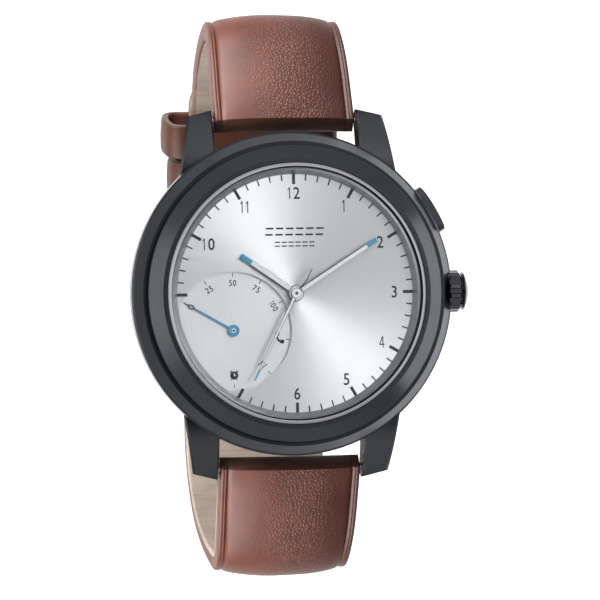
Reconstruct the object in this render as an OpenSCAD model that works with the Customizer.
// Hybrid analogue smartwatch with a closed two-piece leather strap.
// +Z points out of the dial, +Y to 12 o'clock and +X to the crown at 3 o'clock.
// The origin is the centre of the case back's outer face. All sizes are in millimetres.

/* [Case] */
// Radius of the case flank
case_r = 22; // [21.9:0.1:22.1]
// Outer radius of the bezel
bezel_r = 20.05; // [20:0.05:20.1]
// Inner radius of the bezel around the crystal
bezel_in_r = 17.7; // [17.65:0.05:17.7]
// Height of the bezel's top land above the case back
bezel_z = 11.3; // [11.2:0.05:11.4]
// Gap between the inner faces of the lugs
lug_gap = 20; // [20:0.1:20.4]
// Distance of the lug tips from the middle of the case
lug_tip_y = 25.2; // [25:0.1:25.4]
// Distance of the spring bars from the middle of the case
bar_y = 23.7; // [23.6:0.05:23.8]
// Height of the spring bars above the case back
bar_z = 1.7; // [1.65:0.05:1.75]

/* [Dial and hands] */
// Height of the dial's face above the case back
dial_z = 9; // [8.95:0.05:9]
// Radius of the recessed sub-dial
sub_dial_r = 8; // [7.8:0.1:8]
// Minute hand, degrees clockwise from 12
minute_angle = 57.5; // [0:0.5:360]
// Hour hand, degrees clockwise from 12
hour_angle = 304.9; // [0:0.1:360]
// Second hand, degrees clockwise from 12
second_angle = 206.8; // [0:0.1:360]
// Sub-dial pointer, degrees anticlockwise from the crown's side
pointer_angle = 150; // [150:1:150]

/* [Crown and pusher] */
// Outer diameter of the fluted crown
crown_d = 5.7; // [5.5:0.1:5.8]
// Height of the crown's and pusher's axes above the case back
crown_z = 5.5; // [5.5:0.05:5.55]
// Angle of the pusher round the case, anticlockwise from the crown
pusher_a = 30; // [29:1:32]
// Length of the pusher along the flank
pusher_l = 6.8; // [6.4:0.1:6.9]

/* [Strap] */
// Width of the strap
strap_w = 19.4; // [19:0.1:19.5]
// Half the length of the closed loop, lug to lug direction
loop_y = 39; // [38.8:0.1:39.2]
// Half the height of the closed loop
loop_z = 16; // [15.9:0.1:16.1]
// Height of the loop's middle
loop_mid_z = -9; // [-9.05:0.05:-8.95]

/* [Hidden] */
$fn = 48;
eps = 0.01;

// Case: heights and radii of the shell
flank_low_z = 5.0;
flank_top_z = 6.9;
shoulder_in_r = 20.65;
cone_low_z = 9.75;
case_foot_r = 19.8;
case_foot_z = 1.2;
back_opening_r = 16.6;
case_floor_z = 3.0;
cavity_r = 18.6;
bezel_seat_z = 8.9;
back_r = 18.8;
screw_circle_r = 17.75;

// Lugs: a convex top turned about an axis below the case, with bevelled edges
lug_tip_x = 13.5;
lug_root_x = 14.9;
lug_outer_tip_y = lug_tip_y - 0.9;
lug_root_y = 16.5;
lug_top_r = 14;
lug_top_y = 16.76;
lug_top_z = -8.82;
lug_bevel = 0.25;
lug_undercut = 0.95;
lug_slant = atan((lug_root_x - lug_tip_x) / (lug_outer_tip_y - lug_root_y));

// Crystal, rehaut and dial stack
crystal_r = bezel_in_r - 0.1;
crystal_bevel = 0.45;
crystal_z = 10.2;
crystal_h = 1.4;
dial_r = 17.6;
dial_t = 0.4;
rehaut_low_r = 16.1;
rehaut_top_r = 16.65;
rehaut_r = 16.95;
sub_dial_c = [-8.5, -4.9];
plate_r = 17.05;

// Movement levels
board_z = 4.5;
board_t = 0.5;
bridge_z = 5.15;
bridge_t = 0.35;
main_plate_z = 7.4;
main_plate_t = 0.4;
stator_z = 6.3;
stator_t = 0.3;
upper_wheel_z = 7.1;
upper_idler_z = 6.8;
lower_wheel_z = 6.05;
lower_idler_z = 5.75;
wheel_t = 0.15;
battery_r = 12.25;
battery_h = 3.0;
battery_z = 1.35;
battery_c = [0, -3.2];
buzzer_c = [0, 12.75];
buzzer_r = 3.5;
pillars = [[-3.5, -12.5], [11.5, 9], [-11, 10.5]];

// Gear trains: 8-leaf pinions, a 40-tooth idler and a 48-tooth last wheel of one module
gear_m = 0.12;
rotor_teeth = 8;
idler_teeth = 40;
last_teeth = 48;
rotor_gap = gear_m * (rotor_teeth + idler_teeth) / 2;
last_gap = gear_m * (rotor_teeth + last_teeth) / 2;
// Each train: place of the last wheel, direction to the idler, direction from idler to rotor
minute_train = [[0, 0], 60, 60];
second_train = [[0, 0], -45, -45];
pointer_train = [sub_dial_c, 80, 100];

// Motion works: 12:36 and 10:40, both on one centre distance
works_gap = 3;
cannon_teeth = 12;
works_teeth = 36;
works_pinion_teeth = 10;
hour_teeth = 40;
cannon_m = 2 * works_gap / (cannon_teeth + works_teeth);
hour_m = 2 * works_gap / (works_pinion_teeth + hour_teeth);
works_z = 7.85;

// Arbors and running clearances
second_arbor_r = 0.2;
tube_in_r = 0.25;
tube_r = 0.45;
hour_tube_in_r = 0.5;
hour_tube_r = 0.75;
pivot_r = 0.09;
run = 0.05;

// Hands
hour_hand_z = 9.3;
minute_hand_z = 9.55;
second_hand_z = 9.82;
hand_t = 0.12;

// Spring bars: the pins' shoulders sit inside the tube's lips
bar_tube_r = 0.8;
bar_bore_r = 0.68;
bar_half = 9.3;
pin_r = 0.4;
pin_out = 11.2;
shoulder_x = 8.85;
shoulder_l = 0.35;

// Strap: thickness along the loop, by angle round the ellipse
barrel_r = 1.9;
tail_angle = 327;
lining_t = 0.8;
skin_t = 1.1;
padding_w = strap_w - 3;
upper_table = [[-76, 2.4], [-50, 2.6], [0, 3.6], [35, 4.3], [47, 4.0], [52, 3.8]];
lower_table = [[128, 3.8], [133, 4.0], [145, 4.3], [180, 3.6], [230, 2.6], [262, 2.2], [330, 2.2]];

// Buckle
hinge_y = 10;
hinge_z = -23.2;
hinge_barrel_r = 1.6;
hinge_pin_r = 0.75;
buckle_y = -1.2;
buckle_top_z = -25.3;
buckle_low_z = -27.4;
buckle_in_x = 10.1;
buckle_out_x = 11.7;
tongue_w = 1.8;

// Keepers: middle of each band along Y
fixed_keeper_y = 17.3;
free_keeper_y = 23.0;
keeper_w = 4.9;
keeper_t = 1.1;

steel = [0.72, 0.73, 0.75];
brass = [0.83, 0.68, 0.36];
black = [0.23, 0.24, 0.26];
leather = [0.45, 0.28, 0.22];
lining = [0.65, 0.58, 0.53];
rubber = [0.1, 0.1, 0.1];
blue = [0.38, 0.65, 0.79];

// ---- helpers ----

function polar(r, a) = [r * cos(a), r * sin(a)];
function idler_place(train) = train[0] + polar(last_gap, train[1]);
function rotor_place(train) = idler_place(train) + polar(rotor_gap, train[2]);
function smooth(t) = let(u = max(0, min(1, t))) u * u * (3 - 2 * u);

// A turned ring between two radii and two heights
module ring(r_out, r_in, z0, z1) {
    rotate_extrude() translate([r_in, z0]) square([r_out - r_in, z1 - z0]);
}

// A round bar standing at p between two heights
module post(p, r, z0, z1) {
    translate([p[0], p[1], z0]) cylinder(r = r, h = z1 - z0);
}

// A round bar along +X from x0 to x1
module rod_x(r, x0, x1) {
    translate([x0, 0, 0]) rotate([0, 90, 0]) cylinder(r = r, h = x1 - x0);
}

// A body turned about +X, from an outline of [radius, x]
module turned_x(outline) {
    rotate([90, 0, 90]) rotate_extrude() polygon(outline);
}

// A Y-Z outline extruded along X, centred
module slab_x(outline, width) {
    translate([-width / 2, 0, 0]) rotate([90, 0, 90]) linear_extrude(width) polygon(outline);
}

// Straight-flanked teeth with room between them; tooth 0 points along +X
module gear(teeth, m, z, t, bore) {
    step = 360 / teeth;
    root_r = m * teeth / 2 - 1.2 * m;
    tip_r = m * teeth / 2 + 0.95 * m;
    translate([0, 0, z]) difference() {
        linear_extrude(t) polygon([for (i = [0:teeth - 1]) each [
            polar(root_r, (i - 0.27) * step), polar(tip_r, (i - 0.12) * step),
            polar(tip_r, (i + 0.12) * step), polar(root_r, (i + 0.27) * step)
        ]]);
        if (bore > 0) translate([0, 0, -1]) cylinder(r = bore, h = t + 2);
    }
}

// A round wire wound round +Z
module coil(r, wire, turns, length) {
    per_turn = 12;
    sides = 6;
    rings = turns * per_turn;
    points = [for (i = [0:rings], s = [0:sides - 1])
        let(a = 360 * i / per_turn, b = 360 * s / sides, q = r + wire * cos(b))
        [q * cos(a), q * sin(a), wire + (length - 2 * wire) * i / rings + wire * sin(b)]];
    walls = [for (i = [0:rings - 1], s = [0:sides - 1])
        let(n = (s + 1) % sides, a = i * sides, b = a + sides)
        each [[a + s, a + n, b + n], [a + s, b + n, b + s]]];
    start = [for (s = [sides - 1:-1:0]) s];
    end = [for (s = [0:sides - 1]) rings * sides + s];
    polyhedron(points, concat(walls, [start, end]));
}

// ---- case ----

module lug() {
    slant_y = 20.4;
    slant_x = lug_tip_x + (lug_outer_tip_y - slant_y) * tan(lug_slant);
    reach = slant_y - lug_top_y;
    intersection() {
        linear_extrude(6) polygon([
            [lug_gap / 2, 14], [lug_gap / 2, lug_tip_y], [lug_tip_x, lug_outer_tip_y],
            [lug_root_x, lug_root_y], [lug_root_x, 14]
        ]);
        translate([12, 0, 0]) slab_x([
            [14, 1.2], [14, 6], [24.5, 6], [24.5, 2.85], [lug_tip_y, 2.0], [lug_tip_y, 0.9],
            [24.6, 0.1], [23, 0.1], [19.4, case_foot_z]
        ], 8);
        translate([0, lug_top_y, lug_top_z]) turned_x([
            [0, lug_gap / 2], [lug_top_r - lug_bevel, lug_gap / 2],
            [lug_top_r, lug_gap / 2 + lug_bevel], [lug_top_r, 16], [0, 16]
        ]);
        translate([slant_x + reach * sin(lug_slant), slant_y - reach * cos(lug_slant), lug_top_z])
            rotate([0, 0, lug_slant]) turned_x([
                [0, -9], [lug_top_r + 0.3, -9], [lug_top_r + 0.3, -lug_bevel - 0.3],
                [lug_top_r - lug_bevel, 0], [lug_top_r - 5.25, -lug_undercut], [0, -lug_undercut]
            ]);
    }
}

// The slot for the pusher, with round ends, along +X
module round_slot(length, height, x0, x1) {
    translate([x0, 0, 0]) rotate([90, 0, 90]) linear_extrude(x1 - x0) union() {
        square([length - height, height], center = true);
        for (s = [-1, 1]) translate([s * (length - height) / 2, 0]) circle(r = height / 2);
    }
}

module mid_case() {
    color(black) difference() {
        union() {
            rotate_extrude($fn = 128) polygon([
                [back_opening_r, case_foot_z], [case_foot_r, case_foot_z],
                [case_r, flank_low_z], [case_r, flank_top_z], [case_r - 0.27, flank_top_z + 0.25],
                [shoulder_in_r, bezel_seat_z], [cavity_r, bezel_seat_z], [cavity_r, case_floor_z],
                [back_opening_r, case_floor_z]
            ]);
            for (mx = [0, 1], my = [0, 1])
                mirror([mx, 0, 0]) mirror([0, my, 0]) difference() {
                    lug();
                    translate([0, 0, case_floor_z]) cylinder(r = cavity_r, h = 10);
                    translate([0, 0, -1]) cylinder(r = back_opening_r, h = 10);
                    translate([0, 0, -1]) cylinder(r = back_r + 0.2, h = 1 + case_foot_z);
                }
        }
        translate([0, 0, crown_z]) {
            rod_x(1, 18, case_r + 1);
            rod_x(crown_d / 2 + 0.2, 21.5, case_r + 1);
            rotate([0, 0, pusher_a]) {
                rod_x(1.1, 18, case_r + 1);
                round_slot(pusher_l + 0.3, 2.9, 21.2, case_r + 1);
            }
        }
        for (a = [45:90:315]) post(polar(screw_circle_r, a), 0.5, 1, 2.7);
        ring(17.05, back_opening_r - 0.1, 1, 1.6);
        for (y = [-bar_y, bar_y], s = [-1, 1])
            translate([s * 10.5, y, bar_z]) rotate([0, 90, 0])
                cylinder(r = pin_r + run, h = 2, center = true);
    }
}

module bezel() {
    color(black) rotate_extrude($fn = 128) polygon([
        [17.0, 9.1], [18.1, 9.1], [18.1, 8.1], [cavity_r, 8.1], [cavity_r, bezel_seat_z],
        [19.0, bezel_seat_z], [19.0, 9.3], [19.5, 9.3], [19.5, bezel_seat_z],
        [bezel_r, bezel_seat_z], [bezel_r, cone_low_z - 0.1], [bezel_r - 0.08, cone_low_z],
        [bezel_in_r + 0.55, bezel_z], [bezel_in_r, bezel_z], [bezel_in_r, crystal_z],
        [17.0, crystal_z]
    ]);
}

module crystal() {
    top = crystal_z + crystal_h;
    color([0.9, 0.95, 1, 0.3]) rotate_extrude($fn = 128) polygon([
        [0, crystal_z], [crystal_r, crystal_z], [crystal_r, top - crystal_bevel],
        [crystal_r - crystal_bevel, top], [0, top]
    ]);
}

// Three rings: under the bezel, round the crystal and round the case back's spigot
module gaskets() {
    color(rubber) {
        ring(19.45, 19.05, bezel_seat_z, 9.25);
        ring(bezel_in_r, crystal_r, crystal_z, 11.1);
        ring(17.0, back_opening_r - 0.05, case_foot_z, 1.55);
    }
}

module rehaut_ring() {
    color(steel) {
        rotate_extrude($fn = 128) polygon([
            [rehaut_low_r, dial_z], [rehaut_r, dial_z], [rehaut_r, crystal_z - 0.05],
            [rehaut_top_r, crystal_z - 0.05]
        ]);
    }
}

module dial_plate() {
    color([0.86, 0.86, 0.87]) difference() {
        post([0, 0], dial_r, dial_z - dial_t, dial_z);
        post([0, 0], 0.9, dial_z - 1, dial_z + 1);
        post(sub_dial_c, sub_dial_r, dial_z - 1, dial_z + 1);
    }
}

module sub_dial_plate() {
    color([0.83, 0.83, 0.84]) difference() {
        intersection() {
            post(sub_dial_c, sub_dial_r + 0.3, 8.35, dial_z - dial_t);
            post([0, 0], plate_r - 0.1, 8, 9);
        }
        post(sub_dial_c, second_arbor_r + run, 8, 9);
    }
}

// ---- movement ----

module movement_ring() {
    color([0.9, 0.9, 0.88]) difference() {
        rotate_extrude() polygon([
            [16.7, case_floor_z], [cavity_r - 0.1, case_floor_z], [cavity_r - 0.1, 8.0],
            [18.05, 8.0], [18.05, dial_z - dial_t], [plate_r, dial_z - dial_t],
            [plate_r, main_plate_z], [16.7, main_plate_z]
        ]);
        translate([0, 0, crown_z]) {
            rod_x(0.75, 16, 19);
            rotate([0, 0, pusher_a]) rod_x(1.0, 16, 19);
        }
    }
}

module pivots(z0, z1) {
    for (train = [minute_train, second_train, pointer_train])
        for (p = [idler_place(train), rotor_place(train)]) post(p, pivot_r + 0.04, z0, z1);
}

module main_plate() {
    color(steel) {
        difference() {
            post([0, 0], plate_r, main_plate_z, main_plate_z + main_plate_t);
            post([0, 0], tube_r + run, 7, 8);
            post(sub_dial_c, second_arbor_r + run, 7, 8);
            pivots(7, 8);
            for (p = pillars) post(p, 0.4, 7, 8);
        }
        post([works_gap, 0], 0.15, main_plate_z + main_plate_t, 8.3);
    }
}

// The space that the crown's stem and the pusher's stem need
module stem_room(z0, z1) {
    translate([0, 0, z0]) for (a = [0, pusher_a]) rotate([0, 0, a])
        translate([12.2, -1.7, 0]) cube([6, 3.4, z1 - z0]);
}

module train_bridge() {
    color(steel) difference() {
        union() {
            post([0, 0], 16.2, bridge_z, bridge_z + bridge_t);
            for (p = pillars) post(p, 0.9, board_z + board_t, main_plate_z);
        }
        post([0, 0], second_arbor_r + run, 5, 6);
        post(sub_dial_c, second_arbor_r + run, 5, 6);
        pivots(5, 6);
        for (p = pillars) post(p, 0.4, 5.6, 8);
        stem_room(5, 6);
    }
}

// One motor's plates in its own place: the coil side points away from the idler
module at_motor(train) {
    p = rotor_place(train);
    translate([p[0], p[1], 0]) rotate([0, 0, train[2] + 90]) children();
}

module motor_stators() {
    color([0.62, 0.64, 0.67]) for (train = [minute_train, second_train, pointer_train])
        at_motor(train) {
            translate([0, 0, stator_z]) linear_extrude(stator_t) difference() {
                union() {
                    square([10.4, 3], center = true);
                    for (x = [-5.2, 3.8]) translate([x, -4.3]) square([1.4, 3.5]);
                }
                circle(r = 1.1);
            }
            translate([-5.2, -4.1, stator_z + stator_t]) cube([10.4, 1, stator_t]);
        }
}

module motor_coils() {
    color([0.72, 0.4, 0.22]) for (train = [minute_train, second_train, pointer_train])
        at_motor(train) difference() {
            translate([0, -3.6, stator_z + 1.5 * stator_t]) rod_x(0.6, -3.4, 3.4);
            translate([-4, -4.1, stator_z + stator_t]) cube([8, 1, stator_t]);
        }
}

module circuit_board() {
    color([0.08, 0.3, 0.18]) difference() {
        post([0, 0], 16.4, board_z, board_z + board_t);
        post([0, 0], 0.6, 4, 6);
        post(sub_dial_c, 0.6, 4, 6);
    }
}

// Chips under the board beside the battery, and the two side switches on top of it
module board_components() {
    color([0.13, 0.13, 0.14]) {
        for (c = [[-9.3, 8.8, 4.2], [6.4, 7.9, 3.4], [10.2, 6.9, 2.2]])
            translate([c[0], c[1], board_z - 0.9]) cube([c[2], c[2] * 0.7, 0.9]);
        for (a = [0, pusher_a]) rotate([0, 0, a]) difference() {
            translate([12.4, -1.2, board_z + board_t]) cube([1.6, 2.4, 1]);
            translate([0, 0, crown_z]) rod_x(0.3, 12.9, 14.1);
        }
    }
}

module battery() {
    color(steel) translate([battery_c[0], battery_c[1], battery_z]) rotate_extrude() polygon([
        [0, 0], [battery_r - 0.3, 0], [battery_r, 0.3], [battery_r, battery_h - 0.5],
        [battery_r - 1.4, battery_h - 0.3], [battery_r - 1.6, battery_h], [0, battery_h]
    ]);
}

module battery_clip() {
    color(brass) translate([0, battery_c[1], 0]) {
        translate([-13.2, -2, battery_z - 0.25]) cube([26.4, 4, 0.25]);
        for (x = [-13.2, 12.95]) translate([x, -2, battery_z - eps]) cube([0.25, 4, board_z - battery_z + eps]);
    }
}

module battery_insulator() {
    color([0.85, 0.75, 0.4]) post(battery_c, 11, battery_z + battery_h, board_z);
}

module vibration_motor_can() {
    color(steel) difference() {
        post(buzzer_c, buzzer_r, 2.1, board_z);
        difference() {
            post(buzzer_c, buzzer_r - 0.2, 2.3, board_z - 0.2);
            post(buzzer_c, 0.3, 2, 5);
        }
    }
}

module vibration_rotor() {
    color(brass) difference() {
        union() {
            post(buzzer_c, 1, 2.5, 4.1);
            intersection() {
                post(buzzer_c, buzzer_r - 0.4, 2.6, 4);
                translate([buzzer_c[0] - 5, buzzer_c[1], 2]) cube([10, 5, 3]);
            }
        }
        post(buzzer_c, 0.3 + run, 2, 5);
    }
}

module case_back() {
    color(steel) difference() {
        union() {
            rotate_extrude($fn = 128) polygon([
                [0, 0], [back_r - 0.8, 0], [back_r, 0.5], [back_r, case_foot_z], [0, case_foot_z]
            ]);
            ring(16.45, 15.6, case_foot_z - eps, 2);
        }
        post([0, 0], 15.4, 0.75, 2);
        for (a = [45:90:315]) {
            post(polar(screw_circle_r, a), 0.95, -1, 0.5);
            post(polar(screw_circle_r, a), 0.55, -1, 2);
        }
    }
}

// A slotted cheese-head screw, head downwards
module screw(head_r, head_h, shank_r, length) {
    difference() {
        union() {
            cylinder(r = head_r, h = head_h);
            cylinder(r = shank_r, h = head_h + length);
        }
        cube([3 * head_r, 0.25, 0.4], center = true);
    }
}

module case_back_screws() {
    color(steel) for (a = [45:90:315])
        translate([screw_circle_r * cos(a), screw_circle_r * sin(a), 0.05]) rotate([0, 0, a])
            screw(0.9, 0.45, 0.5, 2.1);
}

module movement_screws() {
    color(steel) for (p = pillars) translate([p[0], p[1], 8.15]) mirror([0, 0, 1])
        screw(0.8, 0.35, 0.4, 2);
}

// Steel sleeves pressed into the case wall for the crown's and the pusher's stems
module case_tubes() {
    color(steel) translate([0, 0, crown_z]) {
        turned_x([[0.58, 18.7], [1, 18.7], [1, 22.6], [0.58, 22.6]]);
        rotate([0, 0, pusher_a]) turned_x([
            [0.5, 18.7], [1.1, 18.7], [1.1, 21.2], [0.85, 21.2], [0.85, 19.4], [0.5, 19.4]
        ]);
    }
}

// ---- crown and pusher ----

module crown() {
    dome_r = 5;
    dome_x = 24.5 - dome_r;
    rim_r = crown_d / 2 - 0.25;
    neck_r = crown_d / 2 - 0.6;
    flutes = 14;
    color(black) translate([0, 0, crown_z]) difference() {
        union() {
            difference() {
                turned_x([
                    [0, 21.6], [crown_d / 2 - 0.15, 21.6], [crown_d / 2, 21.75],
                    [crown_d / 2, 23.0], [neck_r, 23.35], [0, 23.35]
                ]);
                for (i = [0:flutes - 1]) rotate([i * 360 / flutes, 0, 0])
                    translate([0, 0, crown_d / 2 + 0.12]) rod_x(0.4, 21.5, 23.5);
            }
            turned_x(concat([[0, 23.2], [neck_r, 23.2], [neck_r, 23.4], [rim_r, 23.6],
                [rim_r, dome_x + sqrt(dome_r ^ 2 - rim_r ^ 2)]],
                [for (a = [25:-5:0]) [dome_r * sin(a), dome_x + dome_r * cos(a)]]));
        }
        rod_x(1.45, 21.5, 22.9);
        rod_x(0.5, 22.8, 23.3);
    }
}

module crown_stem() {
    color(steel) translate([0, 0, crown_z]) turned_x([
        [0, 12.95], [0.25, 12.95], [0.25, 14.2], [0.5, 14.2], [0.5, 14.9], [0.35, 14.9],
        [0.35, 15.2], [0.5, 15.2], [0.5, 23.3], [0, 23.3]
    ]);
}

// A yoke that straddles the groove in the crown's stem
module setting_lever() {
    color(brass) difference() {
        translate([14.93, -1.2, 5.1]) cube([0.24, 2.4, 1.5]);
        translate([14.5, -0.4, 5]) cube([1, 0.8, crown_z - 5]);
        translate([0, 0, crown_z]) rod_x(0.4, 14.5, 15.5);
    }
}

module pusher() {
    color(black) translate([0, 0, crown_z]) rotate([0, 0, pusher_a]) {
        intersection() {
            round_slot(pusher_l, 2.6, 21.9, 24);
            translate([0, 0, -3]) cylinder(r = case_r + 1, h = 6, $fn = 128);
        }
        difference() {
            rod_x(0.45, 14.9, 21.9 + eps);
            difference() {
                rod_x(0.6, 18.35, 18.55);
                rod_x(0.3, 18, 19);
            }
        }
    }
}

module pusher_clip() {
    color(steel) translate([0, 0, crown_z]) rotate([0, 0, pusher_a]) difference() {
        rod_x(0.9, 18.37, 18.53);
        rod_x(0.31, 18, 19);
        translate([18, -0.31, -2]) cube([1, 0.62, 2]);
    }
}

module pusher_spring() {
    color(steel) rotate([0, 0, pusher_a]) translate([19.45, 0, crown_z]) rotate([0, 90, 0])
        coil(0.68, 0.08, 5, 2.4);
}

// ---- wheels, hands and rotors ----

module idler(train, wheel_z, pinion_z) {
    p = idler_place(train);
    color(brass) translate([p[0], p[1], 0]) {
        rotate([0, 0, train[2] + 180 / idler_teeth]) gear(idler_teeth, gear_m, wheel_z, wheel_t, 0);
        rotate([0, 0, train[1] + 180]) gear(rotor_teeth, gear_m, pinion_z, 0.25, 0);
        cylinder_between(0.15, 5.6, 7.3);
        cylinder_between(pivot_r, 5.2, 7.75);
    }
}

module cylinder_between(r, z0, z1) {
    translate([0, 0, z0]) cylinder(r = r, h = z1 - z0);
}

module rotor(train, pinion_z) {
    p = rotor_place(train);
    color([0.35, 0.35, 0.38]) translate([p[0], p[1], 0]) {
        cylinder_between(0.9, 6.2, 6.7);
        rotate([0, 0, train[2] + 180]) gear(rotor_teeth, gear_m, pinion_z, 0.25, 0);
        cylinder_between(0.15, 5.6, 7.3);
        cylinder_between(pivot_r, 5.2, 7.75);
    }
}

module last_wheel(train, z) {
    rotate([0, 0, train[1] + 180 / last_teeth]) gear(last_teeth, gear_m, z, wheel_t, 0);
}

module minute_idler() { idler(minute_train, upper_idler_z, upper_wheel_z - 0.05); }
module second_idler() { idler(second_train, lower_idler_z, lower_wheel_z - 0.05); }
module pointer_idler() { idler(pointer_train, upper_idler_z, upper_wheel_z - 0.05); }
module minute_rotor() { rotor(minute_train, upper_idler_z - 0.05); }
module second_rotor() { rotor(second_train, lower_idler_z - 0.05); }
module pointer_rotor() { rotor(pointer_train, upper_idler_z - 0.05); }

// Centre wheel, its tube and the cannon pinion that drives the motion works
module centre_wheel() {
    color(brass) difference() {
        union() {
            last_wheel(minute_train, upper_wheel_z);
            gear(cannon_teeth, cannon_m, works_z, wheel_t, 0);
            cylinder_between(tube_r, 7, 9.72);
        }
        cylinder_between(tube_in_r, 6, 11);
    }
}

// Minute wheel of the motion works, turning on the main plate's post
module minute_wheel() {
    color(brass) translate([works_gap, 0, 0]) difference() {
        union() {
            rotate([0, 0, 180 + 180 / works_teeth])
                gear(works_teeth, cannon_m, works_z, wheel_t, 0);
            rotate([0, 0, 180]) gear(works_pinion_teeth, hour_m, works_z + wheel_t - eps, 0.28, 0);
        }
        cylinder_between(0.2, 7, 9);
    }
}

module hour_wheel() {
    color(brass) difference() {
        union() {
            rotate([0, 0, 180 / hour_teeth]) gear(hour_teeth, hour_m, 8.1, wheel_t, 0);
            cylinder_between(hour_tube_r, 8.05, hour_hand_z + 0.15);
        }
        cylinder_between(hour_tube_in_r, 7, 11);
    }
}

module second_wheel() {
    color(brass) {
        last_wheel(second_train, lower_wheel_z);
        cylinder_between(second_arbor_r, 5.2, second_hand_z + 0.1);
    }
}

module pointer_wheel() {
    color(brass) translate([sub_dial_c[0], sub_dial_c[1], 0]) {
        last_wheel(pointer_train, upper_wheel_z);
        cylinder_between(second_arbor_r, 5.2, 8.85);
    }
}

// A flat tapering blade along +Y
module blade(y0, y1, w0, w1) {
    linear_extrude(hand_t) polygon([[-w0 / 2, y0], [w0 / 2, y0], [w1 / 2, y1], [-w1 / 2, y1]]);
}

module minute_hand() {
    color(steel) rotate([0, 0, -minute_angle]) translate([0, 0, minute_hand_z]) difference() {
        union() {
            blade(0, 13.2, 0.68, 0.6);
            cylinder(r = 0.95, h = hand_t);
        }
        translate([0, 0, -1]) cylinder(r = tube_r, h = 2);
    }
}

module hour_hand() {
    color(steel) rotate([0, 0, -hour_angle]) translate([0, 0, hour_hand_z]) difference() {
        union() {
            blade(0, 9, 0.8, 0.7);
            cylinder(r = 1.08, h = hand_t + 0.03);
        }
        translate([0, 0, -1]) cylinder(r = hour_tube_r, h = 2);
    }
}

module second_hand() {
    color(steel) rotate([0, 0, -second_angle]) translate([0, 0, second_hand_z]) difference() {
        union() {
            blade(0, 13.1, 0.5, 0.2);
            for (s = [-1, 1]) translate([s * 0.24, 0, 0]) rotate([0, 0, s * 1.5 + 180])
                blade(0, 4, 0.16, 0.16);
            cylinder(r = 0.72, h = hand_t + 0.1);
        }
        translate([0, 0, -1]) cylinder(r = second_arbor_r, h = 1.1);
    }
}

module sub_dial_pointer() {
    color(blue) translate([sub_dial_c[0], sub_dial_c[1], 8.72]) rotate([0, 0, pointer_angle - 90])
        difference() {
            union() {
                blade(0, 7.7, 0.36, 0.2);
                cylinder(r = 0.8, h = 0.2);
            }
            translate([0, 0, -1]) cylinder(r = second_arbor_r, h = 1.13);
        }
}

// ---- strap ----

function loop_normal(a) = let(n = [cos(a) / loop_y, sin(a) / loop_z]) n / norm(n);
function loop_pt(a, d) = [loop_y * cos(a), loop_mid_z + loop_z * sin(a)] - d * loop_normal(a);
function upper_t(a) = lookup(a, upper_table);
function lower_t(a) = lookup(a, lower_table);
// The hole strap leaves the ellipse at the buckle and runs outside the buckle strap
function lower_out(a) = -smooth((a - 269.5) / 13) * (2.4 + 0.45 * (1 - smooth((a - 285) / 12)));

// A band of the loop between two depths, from one angle to another
module band(from, to, outer, inner, width) {
    steps = ceil(abs(to - from) / 3);
    angles = [for (i = [0:steps]) from + (to - from) * i / steps];
    slab_x(concat([for (a = angles) loop_pt(a, outer(a))],
        [for (i = [steps:-1:0]) loop_pt(angles[i], inner(angles[i]))]), width);
}

module at_bar(side) {
    translate([0, side * bar_y, bar_z]) children();
}

module upper_pad() {
    band(45, -57, function(a) skin_t, function(a) upper_t(a) - lining_t, padding_w);
}

module lower_pad() {
    band(135, 237, function(a) skin_t, function(a) lower_t(a) - lining_t, padding_w);
}

module strap_upper_leather() {
    color(leather) difference() {
        union() {
            band(51, -75, function(a) 0, function(a) upper_t(a) - lining_t, strap_w);
            at_bar(1) rod_x(barrel_r, -strap_w / 2, strap_w / 2);
            translate([0, hinge_y, hinge_z]) rod_x(hinge_barrel_r, -strap_w / 2, strap_w / 2);
        }
        upper_pad();
        at_bar(1) rod_x(bar_tube_r, -10, 10);
        translate([0, hinge_y, hinge_z]) {
            rod_x(hinge_pin_r, -10, 10);
            translate([-1.3, -3, -3]) cube([2.6, 4.8, 6]);
        }
    }
}

module strap_upper_lining() {
    color(lining) difference() {
        band(45, -72, function(a) upper_t(a) - lining_t, function(a) upper_t(a), strap_w);
        translate([0, hinge_y, hinge_z]) rod_x(hinge_barrel_r, -11, 11);
        at_bar(1) rod_x(barrel_r, -11, 11);
    }
}

// A round hole square through the strap, at height y along the loop
module tongue_hole(y) {
    a = -acos(y / loop_y);
    n = loop_normal(a);
    p = loop_pt(a, 0);
    translate([0, p[0], p[1]]) rotate([atan2(n[1], n[0]) + 90, 0, 0])
        cylinder(r = 0.85, h = 8, center = true);
}

// The holes for the tongue, and the stretched one that it passes through now
module tongue_holes() {
    for (y = [-15.2, -8.7, -2.2, 11, 17.5, 24]) tongue_hole(y);
    translate([-1.15, 2.5, -30]) cube([2.3, 4.2, 8]);
}

module strap_lower_leather() {
    color(leather) difference() {
        union() {
            band(129, tail_angle, function(a) lower_out(a),
                function(a) lower_out(a) + lower_t(a) - lining_t, strap_w);
            at_bar(-1) rod_x(barrel_r, -strap_w / 2, strap_w / 2);
        }
        lower_pad();
        at_bar(-1) rod_x(bar_tube_r, -10, 10);
        tongue_holes();
    }
}

module strap_lower_lining() {
    color(lining) difference() {
        band(135, tail_angle, function(a) lower_out(a) + lower_t(a) - lining_t,
            function(a) lower_out(a) + lower_t(a), strap_w);
        at_bar(-1) rod_x(barrel_r, -11, 11);
        tongue_holes();
    }
}

module strap_padding() {
    color([0.8, 0.78, 0.72]) {
        upper_pad();
        lower_pad();
    }
}

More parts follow.
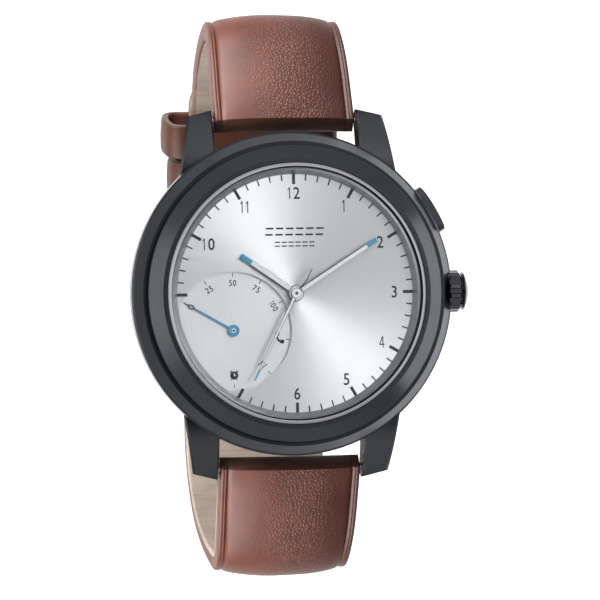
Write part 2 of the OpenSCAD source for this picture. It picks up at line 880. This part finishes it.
// A leather band round both layers of strap, square to the loop at height y along it.
// Its slack bows out past the strap's left edge.
module keeper(y, gap, slack) {
    a = -acos(y / loop_y);
    n = loop_normal(a);
    p = loop_pt(a, 0);
    t = upper_t(a);
    low = -2.4 - gap;
    high = t + gap;
    inner_w = strap_w + slack;
    color(leather) translate([0, p[0], p[1]]) rotate([atan2(n[1], n[0]) + 90, 0, 0])
        rotate([90, 0, 0]) translate([0.15 - slack / 2, (low + high) / 2, 0])
            linear_extrude(keeper_w, center = true) difference() {
                rounded(inner_w + 2 * keeper_t, high - low + 2 * keeper_t, 1.6);
                square([inner_w, high - low], center = true);
            }
}

module rounded(w, h, r) {
    square([w - 2 * r, h], center = true);
    square([w, h - 2 * r], center = true);
    for (x = [-1, 1], y = [-1, 1]) translate([x * (w / 2 - r), y * (h / 2 - r)]) circle(r = r);
}

module fixed_keeper() {
    keeper(fixed_keeper_y, 0.25, 1.95);
}

module free_keeper() {
    keeper(free_keeper_y, 0.8, 2.85);
}

// ---- spring bars ----

module spring_bar_tubes() {
    color(steel) for (side = [-1, 1]) at_bar(side) turned_x([
        [bar_bore_r, -bar_half + 0.4], [pin_r + run, -bar_half + 0.4], [pin_r + run, -bar_half],
        [bar_tube_r, -bar_half], [bar_tube_r, bar_half], [pin_r + run, bar_half],
        [pin_r + run, bar_half - 0.4], [bar_bore_r, bar_half - 0.4]
    ]);
}

module spring_bar_springs() {
    inner = shoulder_x - shoulder_l;
    color(steel) for (side = [-1, 1]) at_bar(side) translate([-inner, 0, 0]) rotate([0, 90, 0])
        coil(0.5, 0.1, 9, 2 * inner);
}

module bar_pin(side, end) {
    color(steel) at_bar(side) mirror([end < 0 ? 1 : 0, 0, 0]) {
        rod_x(bar_bore_r - run, shoulder_x - shoulder_l, shoulder_x);
        rod_x(pin_r, shoulder_x - eps, pin_out);
    }
}

module upper_bar_pin_left() { bar_pin(1, -1); }
module upper_bar_pin_right() { bar_pin(1, 1); }
module lower_bar_pin_left() { bar_pin(-1, -1); }
module lower_bar_pin_right() { bar_pin(-1, 1); }

// ---- buckle ----

module buckle_bar() {
    color(black) translate([0, hinge_y, hinge_z]) rod_x(hinge_pin_r, -buckle_out_x + 0.3,
        buckle_out_x - 0.3);
}

module buckle_frame() {
    arm = buckle_out_x - buckle_in_x;
    color(black) {
        for (s = [-1, 1]) translate([s * (buckle_in_x + arm / 2), 0, 0]) difference() {
            union() {
                slab_x([[hinge_y, hinge_z - 1.5], [hinge_y, hinge_z + 1.5], [5, -23.4],
                    [buckle_y - 1, buckle_top_z], [buckle_y - 1, buckle_low_z],
                    [buckle_y + 1.2, buckle_low_z], [5, -26.6]], arm);
                translate([0, hinge_y, hinge_z]) rod_x(1.5, -arm / 2, arm / 2);
            }
            translate([0, hinge_y, hinge_z]) rod_x(hinge_pin_r + run, -arm, arm);
        }
        difference() {
            slab_x([[buckle_y - 1, buckle_top_z], [buckle_y - 1, buckle_low_z + 0.4],
                [buckle_y - 0.6, buckle_low_z], [buckle_y + 1, buckle_low_z],
                [buckle_y + 1, buckle_top_z]], 2 * buckle_in_x + eps);
            translate([-1.15, buckle_y - 2, buckle_low_z - 1]) cube([2.3, 4, 2.3]);
        }
    }
}

// A strip of even thickness along a path
function side_at(path, i, half) =
    let(a = path[max(i - 1, 0)], b = path[min(i + 1, len(path) - 1)], d = (b - a) / norm(b - a))
    path[i] + half * [-d[1], d[0]];
function strip(path, half) = concat(
    [for (i = [0:len(path) - 1]) side_at(path, i, half)],
    [for (i = [len(path) - 1:-1:0]) side_at(path, i, -half)]);

// A cranked prong: it turns on the bar, dips through the strap's hole and rests on the frame
module buckle_tongue() {
    path = [[hinge_y, hinge_z], [6.6, -23.4], [5.5, -23.9], [4.6, -25.4], [3.6, -26.2],
        [2.4, -26.5], [buckle_y - 1, -26.85]];
    color(black) difference() {
        union() {
            slab_x(strip(path, 0.42), tongue_w);
            translate([0, hinge_y, hinge_z]) rod_x(1.3, -tongue_w / 2, tongue_w / 2);
        }
        translate([0, hinge_y, hinge_z]) rod_x(hinge_pin_r + run, -2, 2);
    }
}

// ---- one line per node ----

mid_case();
bezel();
crystal();
gaskets();
rehaut_ring();
dial_plate();
sub_dial_plate();
movement_ring();
main_plate();
train_bridge();
motor_stators();
motor_coils();
circuit_board();
board_components();
battery();
battery_clip();
battery_insulator();
vibration_motor_can();
case_back();
case_back_screws();
movement_screws();
case_tubes();
spring_bar_tubes();
spring_bar_springs();
strap_upper_leather();
strap_upper_lining();
strap_lower_leather();
strap_lower_lining();
strap_padding();
fixed_keeper();
buckle_bar();
crown();
crown_stem();
setting_lever();
pusher();
pusher_clip();
pusher_spring();
vibration_rotor();
centre_wheel();
minute_hand();
minute_wheel();
hour_wheel();
hour_hand();
second_wheel();
second_hand();
pointer_wheel();
sub_dial_pointer();
minute_idler();
second_idler();
pointer_idler();
minute_rotor();
second_rotor();
pointer_rotor();
upper_bar_pin_left();
upper_bar_pin_right();
lower_bar_pin_left();
lower_bar_pin_right();
free_keeper();
buckle_frame();
buckle_tongue();
